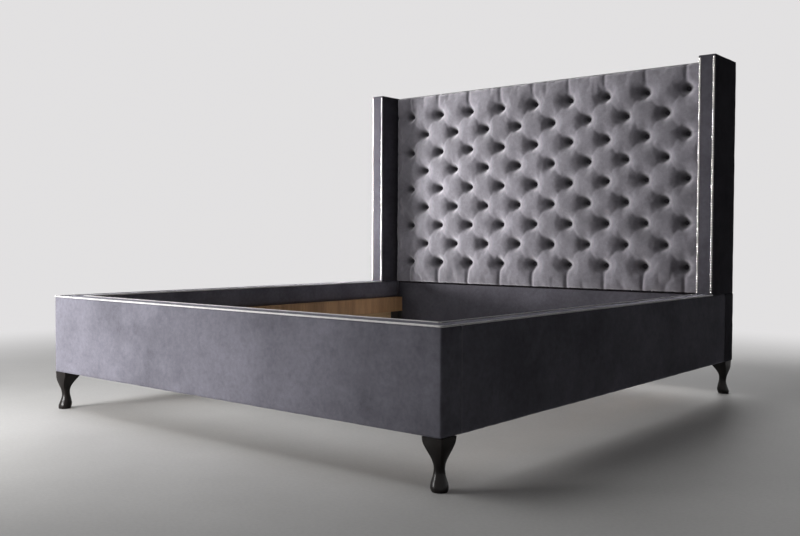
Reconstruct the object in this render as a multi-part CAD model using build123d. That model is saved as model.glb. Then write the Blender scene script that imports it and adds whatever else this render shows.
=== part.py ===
from build123d import *
import os
from math import cos, pi, sin, sqrt

# Chesterfield bed: an upholstered double-bed frame on four cabriole legs, with a tall
# deep-buttoned headboard between two wings that carry rows of dome nails.
# Sizes are in millimetres. +Z is up, +Y points to the headboard, and the origin lies on
# the floor under the middle of the bed.

# Mattress and the room it gets
mattress_width = 1800
mattress_length = 2000
mattress_side_clearance = 5
mattress_end_clearance = 2.5

# Layers of the upholstery, counted from the room inwards
velvet = 2
outer_foam = 15
wadding = 5
lower_foam = 12
wing_inner_foam = 8
wing_front_foam = 6
head_top_foam = 10

# Timber and board
rail_plank = 48
foot_board = 18
foot_batten = 28
foot_batten_width = 45
head_board = 18
head_post_depth = 60
head_rail_width = 60
post_width = 80
wing_core = 50
back_panel = 3

# Heights above the floor and depths of the main masses
leg_height = 150
rail_height = 305
overall_height = 1493
wing_depth = 248
panel_drop = 10
ledger_drop = 92

# Ledger that carries a slatted base
ledger_thickness = 34
ledger_height = 80
velvet_tuck = 12

# Edges, seams and the welt cord that is sewn along the rail tops
edge_radius = 8
corner_radius = 12
wing_edge_radius = 3
welt_radius = 3
welt_sides = 8
turn_under = 25

# Clearances
seat_gap = 0.2
button_gap = 0.3
panel_side_gap = 0.3
overrun = 5

# Deep-buttoned panel
button_columns = 9
button_rows = 9
top_margin = 114.4
bottom_margin = 124
pit_height = 6
fold_lift = 31
crown_lift = 50
shoulder_lift = 46
pleat_lift = 20
roll_inset = 10
facet_shares = (0, 0.15, 0.5, 0.85, 1)
button_radius = 8.5
button_slope = 1
button_dome = 3
button_top_share = 0.55
button_sides = 10

# Cabriole leg
leg_block = 73

# Dome-nail strips on the wing fronts
nail_width = 5
nail_pitch = 11
nail_height = 2.4
nail_inset = 8
nail_strip_base = 0.6
nail_end_gap = 6

# Steel angles that join the side rails to both ends, under the ledgers
angle_leg = 60
angle_steel = 4
angle_lift = 20
angle_gap = 1

# The welt lies in the groove that the rounded edge leaves, so it stands a little proud.
welt_offset = (edge_radius + seat_gap + welt_radius) / sqrt(2) - edge_radius
welt_reach = welt_offset + welt_radius

# Planes across the bed
x_inner = mattress_width / 2 + mattress_side_clearance
rail_thickness = velvet + outer_foam + rail_plank + wadding + velvet
x_outer = x_inner + rail_thickness
x_plank_in = x_inner + velvet + wadding
x_ledger = x_plank_in - ledger_thickness
x_timber = x_outer - velvet - outer_foam
x_post = x_timber - post_width
wing_width = velvet + wing_inner_foam + wing_core + outer_foam + velvet
x_wing = x_outer - wing_width
x_wing_core = x_wing + velvet + wing_inner_foam

# Planes along the bed
foot_core = 2 * foot_board + foot_batten
foot_thickness = velvet + outer_foam + foot_core + wadding + velvet
head_thickness = velvet + lower_foam + head_board + head_post_depth + back_panel + velvet
inner_length = mattress_length + 2 * mattress_end_clearance
overall_length = welt_reach + foot_thickness + inner_length + head_thickness
y_front = welt_reach - overall_length / 2
y_foot = y_front + foot_thickness
y_head = y_foot + inner_length
y_back = y_head + head_thickness
y_foot_core = y_front + velvet + outer_foam
y_foot_core_back = y_foot_core + foot_core
y_board = y_head + velvet + lower_foam
y_posts = y_board + head_board
y_posts_back = y_posts + head_post_depth
y_wing = y_back - wing_depth
y_wing_core = y_wing + velvet + wing_front_foam

# Planes up the bed
z_base = leg_height
z_rail = z_base + rail_height
z_core = z_base + velvet
z_core_top = z_rail - velvet - outer_foam
z_panel = z_rail - panel_drop
z_ledger = z_rail - ledger_drop
z_tuck = z_ledger - velvet_tuck
z_head_core = overall_height - velvet - head_top_foam


def block(x0, x1, y0, y1, z0, z1):
    """A box between two opposite corners."""
    middle = Pos((x0 + x1) / 2, (y0 + y1) / 2, (z0 + z1) / 2)
    return middle * Box(x1 - x0, y1 - y0, z1 - z0)


def mirrored(shape):
    """The same shape on the other side of the bed."""
    return mirror(shape, about=Plane.YZ)


def both_sides(shape):
    """A shape together with its mirror image, as separate solids."""
    return [*shape.solids(), *mirrored(shape).solids()]


def save(name, solids):
    """Write one sub-part, a single solid or a group of separate ones."""
    found = solids if isinstance(solids, list) else list(solids.solids())
    shape = found[0] if len(found) == 1 else Compound(children=found)
    shape.label = name
    export_step(shape, f"parts/{name}.step")


def save_pair(name, shape):
    """Write a sub-part of the right side and its mirror image of the left side."""
    save(f"right_{name}", shape)
    save(f"left_{name}", mirrored(shape))


# Side rails: a timber plank, padded outside and over the top, in a velvet skin
def rail_block(inset, radius):
    """The right rail's padded outline, drawn in by a number of layers."""
    solid = block(
        x_inner + inset, x_outer - inset, y_foot, y_head, z_base + inset, z_rail - inset
    )
    top_edges = solid.edges().filter_by(Axis.Y).group_by(Axis.Z)[-1]
    return fillet(top_edges, radius)


def rail_plank_solid():
    """The load-bearing plank."""
    return block(x_plank_in, x_timber, y_foot, y_head, z_core, z_core_top)


def rail_padding_solid():
    """Foam over the outer face and the top, with thin wadding inside above the ledger."""
    foam = rail_block(velvet, edge_radius - velvet + seat_gap)
    foam = foam - block(x_plank_in, x_timber, y_foot, y_head, z_base, z_core_top)
    return foam - block(x_inner, x_plank_in, y_foot, y_head, z_base, z_tuck)


def rail_cover_solid():
    """The velvet skin: outside, over the top, tucked behind the ledger, and turned under."""
    skin = rail_block(0, edge_radius) - rail_block(velvet, edge_radius - velvet)
    open_edge = x_outer - velvet - turn_under
    return skin - block(x_inner, open_edge, y_foot, y_head, z_base, z_tuck)


def ledger_solid():
    """The bare timber strip that a slatted base rests on, rebated for the tucked velvet."""
    strip = block(x_ledger, x_plank_in, y_foot, y_head, z_ledger - ledger_height, z_ledger)
    return strip - block(x_inner, x_plank_in, y_foot, y_head, z_tuck, z_ledger)


# Foot panel: two boards on battens between end posts, padded all round, in velvet
def foot_block(inset, outer_radius, radius):
    """The foot panel's padded outline, drawn in by a number of layers."""
    solid = block(
        inset - x_outer, x_outer - inset, y_front + inset, y_foot - inset,
        z_base + inset, z_rail - inset,
    )
    front_corners = solid.edges().filter_by(Axis.Z).group_by(Axis.Y)[0]
    solid = fillet(front_corners, outer_radius)
    top_edges = solid.faces().sort_by(Axis.Z)[-1].edges()
    return fillet(top_edges, radius)


def foot_padding_solid():
    """Foam on the front, the ends and the top, and wadding on the inside."""
    foam = foot_block(velvet, corner_radius - velvet + seat_gap, edge_radius - velvet + seat_gap)
    core = block(-x_timber, x_timber, y_foot_core, y_foot_core_back, z_base, z_core_top)
    return foam - core


def foot_cover_solid():
    """The velvet skin of the foot panel, open underneath inside its turned edge."""
    skin = foot_block(0, corner_radius, edge_radius)
    skin = skin - foot_block(velvet, corner_radius - velvet, edge_radius - velvet)
    hem = velvet + turn_under
    under = block(hem - x_outer, x_outer - hem, y_front + hem, y_foot - hem, z_base, z_core)
    return skin - under


def foot_post_solid():
    """The right end post, which carries the front leg and the side rail."""
    return block(x_post, x_timber, y_foot_core, y_foot_core_back, z_core, z_core_top)


def foot_battens():
    """Top and bottom battens and three studs between the two boards."""
    y0 = y_foot_core + foot_board
    y1 = y0 + foot_batten
    low = z_core + foot_batten_width
    high = z_core_top - foot_batten_width
    pieces = [
        block(-x_post, x_post, y0, y1, z_core, low),
        block(-x_post, x_post, y0, y1, high, z_core_top),
    ]
    for share in (-1 / 2, 0, 1 / 2):
        x = share * x_post
        half = foot_batten_width / 2
        pieces.append(block(x - half, x + half, y0, y1, low, high))
    return pieces


# Headboard body: posts and cross rails between a front board and a thin back panel
def head_post_solid():
    """The right post, which carries the rear leg, the side rail and the wing."""
    return block(x_post, x_timber, y_posts, y_posts_back, z_core, z_head_core)


def head_cross_rails():
    """Rails at the foot, at mattress height, halfway up and along the top."""
    lows = [
        z_core,
        z_rail - head_rail_width / 2,
        (z_rail + z_head_core) / 2,
        z_head_core - head_rail_width,
    ]
    return [
        block(-x_post, x_post, y_posts, y_posts_back, low, low + head_rail_width)
        for low in lows
    ]


def head_front_board():
    """The board behind the buttoning and the wings."""
    return block(-x_timber, x_timber, y_board, y_posts, z_core, z_head_core)


def head_back_panel():
    """Thin hardboard that closes the back between the edge foams."""
    return block(
        -x_timber, x_timber, y_posts_back, y_back - velvet, z_core, z_head_core
    )


def head_back_cover():
    """The back skin, with the strip that closes the top between the wings."""
    sheet = block(
        velvet - x_outer, x_outer - velvet, y_back - velvet, y_back,
        z_base, overall_height - velvet,
    )
    strip = block(-x_wing, x_wing, y_board, y_back, overall_height - velvet, overall_height)
    return sheet + strip


def head_top_padding():
    """Foam along the top edge between the wings."""
    return block(
        -x_wing, x_wing, y_board, y_back - velvet, z_head_core, overall_height - velvet
    )


def above_rails():
    """The space of the buttoned panel, cut out of the lower padding and its skin."""
    return block(-x_wing, x_wing, y_head - overrun, y_board, z_panel, z_rail + overrun)


def head_lower_padding():
    """Foam on the flat strip under the buttoning and round the body's sides."""
    foam = block(
        velvet - x_outer, x_outer - velvet, y_head + velvet, y_back - velvet, z_core, z_rail
    )
    foam = foam - block(-x_timber, x_timber, y_board, y_back, z_base, z_rail)
    return foam - above_rails()


def head_lower_cover():
    """The velvet of the flat strip, turned under and carried round the sides."""
    skin = block(-x_outer, x_outer, y_head, y_back, z_base, z_rail)
    inside = block(velvet - x_outer, x_outer - velvet, y_head + velvet, y_back, z_core, z_rail)
    hem = velvet + turn_under
    under = block(hem - x_outer, x_outer - hem, y_head + hem, y_back, z_base, z_core)
    open_back = block(velvet - x_outer, x_outer - velvet, y_back - velvet, y_back, z_base, z_rail)
    return skin - inside - under - open_back - above_rails()


# Deep buttoning: one cushion for each diamond of pits, faceted, with folds between them
panel_half = x_wing - panel_side_gap
panel_edge = y_board - y_head
button_pitch = 2 * x_wing / button_columns
row_pitch = (overall_height - z_panel - top_margin - bottom_margin) / (button_rows - 1)


def pit(row, column):
    """A pit's place across and up, and its height in front of the board."""
    count = button_columns - row % 2
    x = (column - (count - 1) / 2) * button_pitch
    return (x, z_panel + bottom_margin + row * row_pitch, pit_height)


def between(start, end, share):
    """A point part of the way from one control point to another."""
    return tuple(a + (b - a) * share for a, b in zip(start, end))


def curve(start, end, near_share, near_lift, far_share, far_lift):
    """Control points of an edge, with two inner ones at chosen shares and heights."""
    near = between(start, end, near_share)
    far = between(start, end, far_share)
    return [start, (near[0], near[1], near_lift), (far[0], far[1], far_lift), end]


def rolled_share(start, end):
    """The share of a run at which the surface starts to roll over at the border."""
    return 1 - roll_inset / sqrt((end[0] - start[0]) ** 2 + (end[1] - start[1]) ** 2)


def fold(start, end):
    """The fold between two pits."""
    return curve(start, end, 1 / 3, fold_lift, 2 / 3, fold_lift)


def pleat(start, end):
    """The pleat from a pit to the border, deepest beside the pit."""
    return curve(start, end, 1 / 2, pleat_lift, rolled_share(start, end), fold_lift)


def ridge(start, end):
    """The line from a pit to the border along the top of a cushion."""
    return curve(start, end, 1 / 3, shoulder_lift, rolled_share(start, end), shoulder_lift)


def border(start, end):
    """Control points of a straight stretch of the panel's border."""
    return [between(start, end, step / 3) for step in range(4)]


def weights(share):
    """The cubic weights of four control points at a share of the way."""
    rest = 1 - share
    return (rest**3, 3 * rest**2 * share, 3 * rest * share**2, share**3)


def facets(grid):
    """Flat triangles between the points of a curved patch at the facet shares."""
    last = len(facet_shares) - 1
    spots = {}
    for i, u in enumerate(facet_shares):
        for j, v in enumerate(facet_shares):
            x, z, height = (
                sum(
                    weights(u)[m] * weights(v)[n] * grid[m][n][k]
                    for m in range(4)
                    for n in range(4)
                )
                for k in range(3)
            )
            spots[i, j] = (x, y_board - height, z)
    faces = []
    for i in range(last):
        for j in range(last):
            ring = [spots[i, j], spots[i + 1, j], spots[i + 1, j + 1], spots[i, j + 1]]
            if (2 * i < last) != (2 * j < last):
                ring = ring[1:] + ring[:1]
            faces.append(Face(Wire.make_polygon([ring[0], ring[1], ring[2]], close=True)))
            faces.append(Face(Wire.make_polygon([ring[0], ring[2], ring[3]], close=True)))
    return faces


def patch(low, high, first, last, lifts, level=None):
    """Facets inside four borders, with chosen heights at the inner control points.

    low and high run one way and first and last the other. level is the coordinate that
    the row beside first shares with it, so that two mirrored patches join smoothly.
    """
    grid = [[low[i], first[i], last[i], high[i]] for i in range(4)]
    for j in range(4):
        grid[0][j] = first[j]
        grid[3][j] = last[j]
    for i in range(1, 3):
        grid[i][0] = low[i]
        grid[i][3] = high[i]
        for j in range(1, 3):
            u = i / 3
            v = j / 3
            spot = [
                (1 - v) * low[i][k] + v * high[i][k] + (1 - u) * first[j][k] + u * last[j][k]
                - (1 - u) * ((1 - v) * low[0][k] + v * high[0][k])
                - u * ((1 - v) * low[3][k] + v * high[3][k])
                for k in range(2)
            ]
            if level is not None and i == 1:
                spot[level] = first[j][level]
            grid[i][j] = (spot[0], spot[1], lifts[i - 1][j - 1])
    return facets(grid)


def diamond(left, bottom, right, top):
    """The cushion between four neighbouring pits."""
    lifts = [[crown_lift, crown_lift], [crown_lift, crown_lift]]
    return patch(
        fold(left, bottom), fold(top, right), fold(left, top), fold(bottom, right), lifts
    )


def half_cushion(tip, beside, level):
    """Half of the cushion between two border pleats, from its tip pit to the border."""
    across = 1 - level
    if level == 0:
        edge = panel_half if tip[0] > 0 else -panel_half
    else:
        edge = overall_height if tip[1] > (z_panel + overall_height) / 2 else z_panel
    ends = []
    for corner in (tip, beside):
        end = [0, 0, panel_edge]
        end[level] = edge
        end[across] = corner[across]
        ends.append(tuple(end))
    lifts = [[shoulder_lift, shoulder_lift], [crown_lift, (crown_lift + fold_lift) / 2]]
    middle = ridge(tip, ends[0])
    side = pleat(beside, ends[1])
    return patch(fold(tip, beside), border(*ends), middle, side, lifts, level)


def corner_cushion(row, column, x_edge, z_edge):
    """The cushion between the last pit of a row and a corner of the panel."""
    start = pit(row, column)
    above = (start[0], z_edge, panel_edge)
    aside = (x_edge, start[1], panel_edge)
    corner = (x_edge, z_edge, panel_edge)
    lifts = [[crown_lift, shoulder_lift], [shoulder_lift, (shoulder_lift + fold_lift) / 2]]
    return patch(
        pleat(start, aside), border(above, corner),
        pleat(start, above), border(aside, corner), lifts,
    )


def buttoned_faces():
    """All facets of the buttoned front."""
    last = button_rows - 1
    wide = button_columns - 1
    faces = []
    for row in range(1, last):
        step = row % 2
        for column in range(wide - step):
            left = pit(row, column)
            right = pit(row, column + 1)
            bottom = pit(row - 1, column + step)
            faces += diamond(left, bottom, right, pit(row + 1, column + step))
    for row, inner_row in ((0, 1), (last, last - 1)):
        for column in range(wide):
            tip = pit(inner_row, column)
            faces += half_cushion(tip, pit(row, column), 1)
            faces += half_cushion(tip, pit(row, column + 1), 1)
    for end, inner_end, x_edge in ((0, 0, -panel_half), (wide, wide - 1, panel_half)):
        for row in range(1, last, 2):
            tip = pit(row, inner_end)
            faces += half_cushion(tip, pit(row - 1, end), 0)
            faces += half_cushion(tip, pit(row + 1, end), 0)
        faces += corner_cushion(0, end, x_edge, z_panel)
        faces += corner_cushion(last, end, x_edge, overall_height)
    return faces


def subdivided(values):
    """Sorted values with the facet shares between each two of them."""
    values = sorted(values)
    steps = zip(values, values[1:])
    inner = [low + (high - low) * share for low, high in steps for share in facet_shares[:-1]]
    return [*inner, values[-1]]


def border_faces():
    """The four narrow flat sides and the flat back, with corners where facets meet."""
    last = button_rows - 1
    inner = [pit(row, column)[0] for row in (0, 1) for column in range(button_columns - row)]
    xs = subdivided([-panel_half, panel_half, *inner])
    zs = subdivided([z_panel, overall_height, *(pit(row, 0)[1] for row in range(last + 1))])
    loops = [
        [(x, y_head, z) for x in xs] + [(x, y_board, z) for x in (panel_half, -panel_half)]
        for z in (z_panel, overall_height)
    ]
    loops += [
        [(x, y_head, z) for z in zs] + [(x, y_board, z) for z in (overall_height, z_panel)]
        for x in (-panel_half, panel_half)
    ]
    loops.append(
        [
            (x, y_board, z)
            for x, z in (
                (-panel_half, z_panel), (panel_half, z_panel),
                (panel_half, overall_height), (-panel_half, overall_height),
            )
        ]
    )
    return [Face(Wire.make_polygon(loop, close=True)) for loop in loops]


def tufted_panel():
    """The padded panel: cushioned front, flat back and narrow sides sewn into one solid."""
    return Solid(Shell(buttoned_faces() + border_faces()))


def ring(radius, height):
    """The corners of a button's outline at one height above the board."""
    turn = 2 * pi / button_sides
    return [
        (radius * cos(i * turn), radius * sin(i * turn), height) for i in range(button_sides)
    ]


def covered_button():
    """A dome with a tapered underside that follows its pit, in flat facets."""
    tip = (0, 0, pit_height + button_gap)
    rim_height = tip[2] + button_slope * button_radius
    rim = ring(button_radius, rim_height)
    top = ring(button_radius * button_top_share, rim_height + button_dome)
    loops = [top]
    for i in range(button_sides):
        loops.append([tip, rim[i - 1], rim[i]])
        loops.append([rim[i - 1], rim[i], top[i], top[i - 1]])
    return Solid(Shell([Face(Wire.make_polygon(loop, close=True)) for loop in loops]))


def tuft_buttons():
    """One covered button drawn deep into each pit."""
    button = covered_button()
    buttons = []
    for row in range(button_rows):
        for column in range(button_columns - row % 2):
            x, z, _ = pit(row, column)
            buttons.append(Pos(x, y_board, z) * Rot(90, 0, 0) * button)
    return buttons


# Wings: a timber core on the front board, padded, in velvet, nailed along both edges
def wing_block(inset):
    """The right wing's outline, drawn in by a number of layers except at its foot."""
    solid = block(
        x_wing + inset, x_outer - inset, y_wing + inset, y_back - inset,
        z_rail, overall_height - inset,
    )
    if inset:
        return solid
    upright = solid.edges().filter_by(Axis.Z).group_by(Axis.Y)[0]
    solid = fillet(upright, wing_edge_radius)
    top = solid.faces().sort_by(Axis.Z)[-1].edges()
    return fillet(top.sort_by(Axis.Y)[:-1], wing_edge_radius)


def wing_core_solid():
    """The timber core, which stands on the side rail and against the front board."""
    return block(x_wing_core, x_timber, y_wing_core, y_board, z_rail, z_head_core)


def wing_padding_solid():
    """Foam round the core and on past the headboard body to the back."""
    foam = wing_block(velvet)
    foam = foam - block(x_wing_core, x_timber, y_wing_core, y_board, z_rail, z_head_core)
    return foam - block(x_wing, x_timber, y_board, y_back, z_rail, z_head_core)


def wing_cover_solid():
    """The wing's velvet skin, open at its foot, at the body and at the back."""
    skin = wing_block(0) - wing_block(velvet)
    inner_sheet = block(
        x_wing, x_wing + velvet, y_board, y_back, z_rail, overall_height - velvet
    )
    back_sheet = block(
        x_wing, x_outer - velvet, y_back - velvet, y_back, z_rail, overall_height - velvet
    )
    return skin - inner_sheet - back_sheet


def nail_strip(x):
    """A beaded strip up the wing's front at one place across it, one bead for each nail."""
    low = z_rail + nail_end_gap
    count = int((overall_height - nail_end_gap - low) / nail_pitch)
    base = y_wing - nail_strip_base
    outline = [(0, y_wing, low), (0, base, low)]
    for i in range(count):
        z = low + i * nail_pitch
        outline.append((0, y_wing - nail_height, z + nail_pitch / 2))
        outline.append((0, base, z + nail_pitch))
    outline.append((0, y_wing, low + count * nail_pitch))
    side = Face(Wire.make_polygon(outline, close=True))
    return Pos(x - nail_width / 2, 0, 0) * extrude(side, nail_width, dir=(1, 0, 0))


def wing_nail_strips():
    """One strip beside each edge of the wing's front."""
    return [nail_strip(x_wing + nail_inset), nail_strip(x_outer - nail_inset)]


# Welts along the rail tops
def welt_face(plane):
    """The cord's section on a plane at the start of its run."""
    turn = 180 / welt_sides
    return plane * RegularPolygon(welt_radius, welt_sides, major_radius=False, rotation=turn)


def straight_welt(start, end):
    """A straight run of welt cord."""
    path = Line(start, end)
    return sweep(welt_face(Plane(origin=start, z_dir=path % 0)), path=path)


def foot_outer_welt():
    """The cord round the foot panel's outer top edge, with its two rounded corners."""
    x = x_outer + welt_offset
    y = y_front - welt_offset
    z = z_rail + welt_offset
    bend = corner_radius + welt_offset
    path = FilletPolyline((-x, y_foot, z), (-x, y, z), (x, y, z), (x, y_foot, z), radius=bend)
    return sweep(welt_face(Plane(origin=(-x, y_foot, z), z_dir=(0, -1, 0))), path=path)


def foot_inner_welt():
    """The cord along the foot panel's inner top edge, between the rails' own."""
    x = x_inner - welt_reach - seat_gap
    y = y_foot + welt_offset
    z = z_rail + welt_offset
    return straight_welt((-x, y, z), (x, y, z))


def rail_welt(x):
    """A cord along one top edge of the right rail, up to the wing."""
    z = z_rail + welt_offset
    return straight_welt((x, y_foot, z), (x, y_wing, z))


# Cabriole leg: each row is height, width, inset of the centre from both outer faces, and
# place of the corner, as shares of the leg's height, block, block and half width. A corner
# share near 1 gives a square section with bulging sides, and 0.707 gives a round one.
leg_shares = [
    (1, 0.96, 0.5, 0.975),
    (0.9, 0.94, 0.495, 0.96),
    (0.72, 0.7, 0.41, 0.91),
    (0.42, 0.425, 0.41, 0.715),
    (0.15, 0.66, 0.4, 0.715),
    (0, 0.6, 0.36, 0.715),
]


def leg_section(half, corner):
    """A closed outline of four arcs: half is the reach of a side, corner that of a corner."""
    arcs = []
    for x, y in ((1, 0), (0, 1), (-1, 0), (0, -1)):
        start = (corner * (x + y), corner * (y - x))
        end = (corner * (x - y), corner * (y + x))
        arcs.append(ThreePointArc(start, (half * x, half * y), end))
    return Face(Wire(arcs))


def leg_solid(y_face, way):
    """The right leg under one end. way points from the outer face into the bed."""
    sections = []
    for height, width, inset, corner_share in leg_shares:
        half = width * leg_block / 2
        centre = inset * leg_block
        place = Pos(x_outer - centre, y_face + way * centre, height * leg_height)
        sections.append(place * leg_section(half, corner_share * half))
    return loft(sections)


# Steel angles in the corners under the ledgers
def angle_solid(y_face, way):
    """The right angle at one end. way points from the end's face into the bed."""
    low = z_core + angle_lift
    high = z_ledger - ledger_height - angle_gap
    rail_side = sorted([y_face, y_face + way * angle_leg])
    end_side = sorted([y_face, y_face + way * angle_steel])
    angle = block(x_plank_in - angle_steel, x_plank_in, *rail_side, low, high)
    return angle + block(x_ledger, x_plank_in, *end_side, low, high)


os.makedirs("parts", exist_ok=True)

save_pair("rail_plank", rail_plank_solid())
save_pair("rail_padding", rail_padding_solid())
save_pair("rail_cover", rail_cover_solid())
save_pair("rail_outer_welt", rail_welt(x_outer + welt_offset))
save_pair("rail_inner_welt", rail_welt(x_inner - welt_offset))
save_pair("ledger", ledger_solid())

save("foot_posts", both_sides(foot_post_solid()))
y_batten = y_foot_core + foot_board
foot_outer_board = block(-x_post, x_post, y_foot_core, y_batten, z_core, z_core_top)
save("foot_outer_board", foot_outer_board)
save("foot_inner_board", Pos(0, foot_board + foot_batten, 0) * foot_outer_board)
save("foot_battens", foot_battens())
save("foot_padding", foot_padding_solid())
save("foot_cover", foot_cover_solid())
save("foot_outer_welt", foot_outer_welt())
save("foot_inner_welt", foot_inner_welt())

save("headboard_posts", both_sides(head_post_solid()))
save("headboard_cross_rails", head_cross_rails())
save("headboard_front_board", head_front_board())
save("headboard_back_panel", head_back_panel())
save("headboard_back_cover", head_back_cover())
save("headboard_top_padding", head_top_padding())
save("headboard_lower_padding", head_lower_padding())
save("headboard_lower_cover", head_lower_cover())
save("tufted_panel", tufted_panel())
save("tuft_buttons", tuft_buttons())

save_pair("wing_core", wing_core_solid())
save_pair("wing_padding", wing_padding_solid())
save_pair("wing_cover", wing_cover_solid())
save_pair("wing_nail_strips", Compound(children=wing_nail_strips()))

save("legs", both_sides(leg_solid(y_front, 1)) + both_sides(leg_solid(y_back, -1)))
save("foot_corner_angles", both_sides(angle_solid(y_foot, 1)))
save("head_corner_angles", both_sides(angle_solid(y_head, -1)))
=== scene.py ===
import math

import bmesh
import bpy
import numpy as np
from mathutils import Matrix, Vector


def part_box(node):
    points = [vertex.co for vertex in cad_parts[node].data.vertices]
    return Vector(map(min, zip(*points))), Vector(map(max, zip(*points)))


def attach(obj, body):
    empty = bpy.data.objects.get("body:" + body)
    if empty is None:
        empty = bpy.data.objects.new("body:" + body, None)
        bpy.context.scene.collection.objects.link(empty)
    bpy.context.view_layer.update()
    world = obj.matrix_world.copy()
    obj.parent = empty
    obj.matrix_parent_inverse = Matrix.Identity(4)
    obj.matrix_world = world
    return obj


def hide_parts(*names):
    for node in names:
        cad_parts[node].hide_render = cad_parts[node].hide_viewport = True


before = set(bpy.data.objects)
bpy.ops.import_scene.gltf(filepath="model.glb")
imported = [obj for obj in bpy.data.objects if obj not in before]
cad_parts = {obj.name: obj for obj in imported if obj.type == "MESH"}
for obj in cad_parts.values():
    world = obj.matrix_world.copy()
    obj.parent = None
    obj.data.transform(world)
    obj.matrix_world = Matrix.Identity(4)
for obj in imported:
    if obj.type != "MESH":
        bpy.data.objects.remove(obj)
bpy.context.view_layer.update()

# The bed's looks and its full soft forms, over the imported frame.
# Lengths are in metres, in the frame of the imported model. Lamp and camera angles are in degrees.

# Padded covers: rolled edges, a slight uneven crown, and cloth turned under
edge_roundness = 0.008
wing_roundness = 0.005
body_roundness = 0.006
top_roundness = 0.004
foot_roundness = 0.01
butt_roundness = 0.0015
foam_crown = 0.0022
firm_crown = 0.0012
top_crown = 0.0008
crown_reach = 0.03
crown_drift = 0.35
crown_drift_length = 0.32
ripple_height = 0.00035
ripple_length = 0.07
grid_step = 0.014
edge_steps = 5
cover_cloth = 0.0015
hem = 0.027
seam_gap = 0.0006
body_top_gap = 0.0005
inner_skin = 0.006
facing = 0.9
corner_start = 0.90
corner_reach = 0.05
corner_fade = 0.01
top_front_gap = 0.001
top_back_gap = 0.002

# Cloth over the back of the headboard
back_columns = 150
back_rows = 105
back_sag = 0.0006
back_sag_reach = 0.1
back_drift = 0.5
back_drift_length = 0.3
back_cloth = 0.0012
back_gap = 0.0002

# Deep buttoning: the grid of pits, as the frame has it
button_columns = 9
button_rows = 9
top_margin = 0.1144
bottom_margin = 0.124
panel_step = 0.0075

# Deep buttoning: the funnel at each button and the small folds that run into it
pit_depth = 0.002
crown_height = 0.050
panel_drift = 0.04
panel_drift_length = 0.22
grain_height = 0.0004
grain_length = 0.04
funnel_reach = 0.0255
funnel_power = 1.75
funnel_spread = (0.9, 1.1)
spoke_counts = (7, 11, 16)
spoke_strength = (0.4, 1.0)
spoke_limit = 0.09
spoke_fade = 0.026
spoke_start = 0.012
spoke_height = 0.0009

# Deep buttoning: folds between buttons and pleats out to the border
fold_depth = 0.0022
fold_pull = 0.006
fold_fade = 0.024
fold_width = 0.018
fold_spread = (0.4, 1.6)
fold_bend = 0.004
crease_power = 1.3
pleat_depth = 0.014
pleat_width = 0.007
pleat_flare = 0.013
pleat_taper = 0.035
pleat_spread = (0.75, 1.15)
pleat_gain = 0.7
bottom_pleat = 0.7
top_pleat = 0.4
border_rim = 0.014
edge_roll = 0.020
pucker_height = 0.0016
pucker_length = 0.03
pucker_reach = 0.03
pucker_stretch = (1, 1, 0.15)

# Deep buttoning: how the velvet is held and settles as cloth
pin_reach = 0.008
border_pin = 0.003
border_hold = 0.6
border_hold_reach = 0.012
least_hold = 0.01
cloth_frames = 20
cloth_pressure = 0.5
cloth_growth = 0.012
cloth_cap = 0.008
cloth_quality = 3
cloth_mass = 0.3
cloth_stiffness = 15
cloth_shear = 5
cloth_bending = 0.2
panel_back_gap = 0.0002

# Painted shade in the pits and along the panel's bottom seam: a dark velvet without sheen there,
# and a darkened colour
pit_shade_height = 0.0115
seam_shade_width = 0.011
seam_shade = 0.012

# Buttons, nails and cords
button_radius = 0.009
button_dome = 0.003
button_seat = 0.008
button_rings = 7
button_sides = 28
button_skirt = 0.004
skirt_taper = 0.9
gather_count = 11
gather_height = 0.00022
gather_power = 3
nail_radius = 0.0055
nail_height = 0.003
nail_pitch = 0.011
nail_rings = 5
nail_sides = 18
nail_seat = 0.0003
bead_half = 0.0025
welt_radius = 0.003
welt_sides = 14
welt_step = 0.006
welt_fine = 0.05
welt_fine_length = 0.02
welt_broad = 0.04
welt_broad_length = 0.11
welt_bend = 0.012
welt_bend_steps = 8

# Seeded unevenness, with random turns in radians
wave_count = 28
wave_spread = (0.7, 1.5)
wave_peak = 1.6
turn_range = 6.28
rail_seeds = {"left": 12, "right": 11}
foot_seed = 21
body_seed = 31
wing_seeds = {"left": 42, "right": 41}
top_seed = 51
back_seed = 61
funnel_seed = 7
panel_seed = 71
button_seed = 5
nail_seed = 81
welt_seed = 91
outer_welt_seed = 93

# Limits of the sums
tiny = 1e-9
least_area = 1e-12
beyond = 9.0
weld_digits = 7

# Velvet: its layers from brushed patches down to the pile, with each bump's strength and depth
patch_scale = 3.4
patch_stops = (0.34, 0.68)
patch_dark = 0.2
patch_light = 0.22
stroke_scale = 17.0
stroke_share = 0.75
stroke_bump = (0.25, 0.0012)
stroke_ramp = [(0.34, (0.8, 0.8, 0.81)), (0.5, (0.95, 0.95, 0.95)), (0.66, (1.0, 1.0, 1.0))]
crumple_scale = 62.0
crumple_part = 1.5
crumple_bump = (0.2, 0.001)
crumple_ramp = [(0.36, (0.84, 0.84, 0.84)), (0.64, (1.1, 1.1, 1.1))]
pile_scale = 1400.0
pile_share = 0.8
pile_bump = (0.35, 0.0004)
pile_ramp = [(0.3, (0.72, 0.72, 0.72)), (0.7, (1.0, 1.0, 1.0))]
velvet_roughness = (0.72, 0.95)
# The next two ramps paint shade: darker along the tufted panel's bottom seam and down into its
# pits.
seam_shade_ramp = [(0.5, (0.12, 0.12, 0.12)), (1.0, (1.0, 1.0, 1.0))]
pit_shade_ramp = [(0.3, (1.0, 1.0, 1.0)), (0.55, (0.36, 0.35, 0.36)), (0.78, (0.06, 0.057, 0.06))]

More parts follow.
